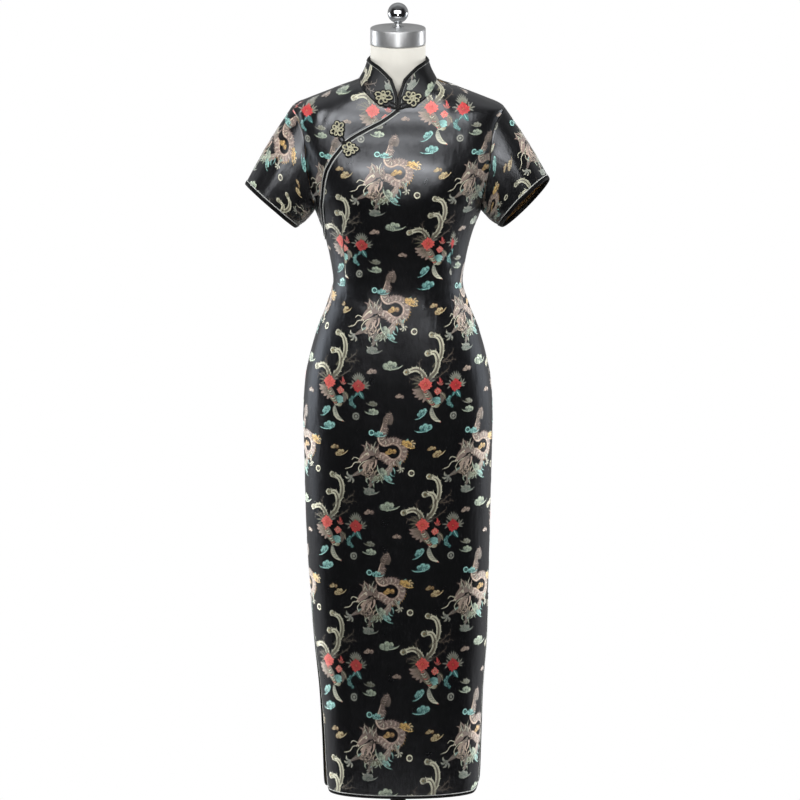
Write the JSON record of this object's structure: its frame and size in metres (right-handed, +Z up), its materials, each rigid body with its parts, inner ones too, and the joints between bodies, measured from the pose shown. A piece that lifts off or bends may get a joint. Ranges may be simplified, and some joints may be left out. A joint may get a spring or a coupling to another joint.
{
  "type": "cheongsam dress on a limbless dress form",
  "caption": "Fitted ankle-length cheongsam with stand collar, slanting placket, short sleeves and side slits, on a limbless dress form with a pole and round base.",
  "frame": {"origin": "centre of the underside of the round base, on the floor", "axes": "+Z up, the front of the dress faces -Y, +X is the wearer's left"},
  "size_m": [0.5462, 0.33, 1.5875],
  "materials": {
    "brocade": "black satin with woven coloured figures",
    "binding": "black satin bias binding",
    "gold_cord": "pale gold metallic cord",
    "black_cord": "black knotted cord",
    "form_cover": "cream jersey over the form",
    "metal": "polished"
  },
  "bodies": {
    "root": {"front_panel": "brocade", "back_panel": "brocade", "underlap": "brocade", "sleeve_left": "brocade", "sleeve_right": "brocade", "collar": "brocade", "collar_binding": "binding", "placket_binding": "binding", "front_hem_binding": "binding", "back_hem_binding": "binding", "cuff_binding_left": "binding", "cuff_binding_right": "binding", "frog_collar_left": "gold_cord", "frog_collar_right": "gold_cord", "frog_chest_upper": "gold_cord", "frog_chest_lower": "gold_cord", "knot_collar": "black_cord", "knot_chest": "black_cord", "dress_form": "form_cover", "neck_cap": "metal", "finial": "metal", "stand_pole": "metal", "stand_base": "metal"}
  },
  "joints": []
}
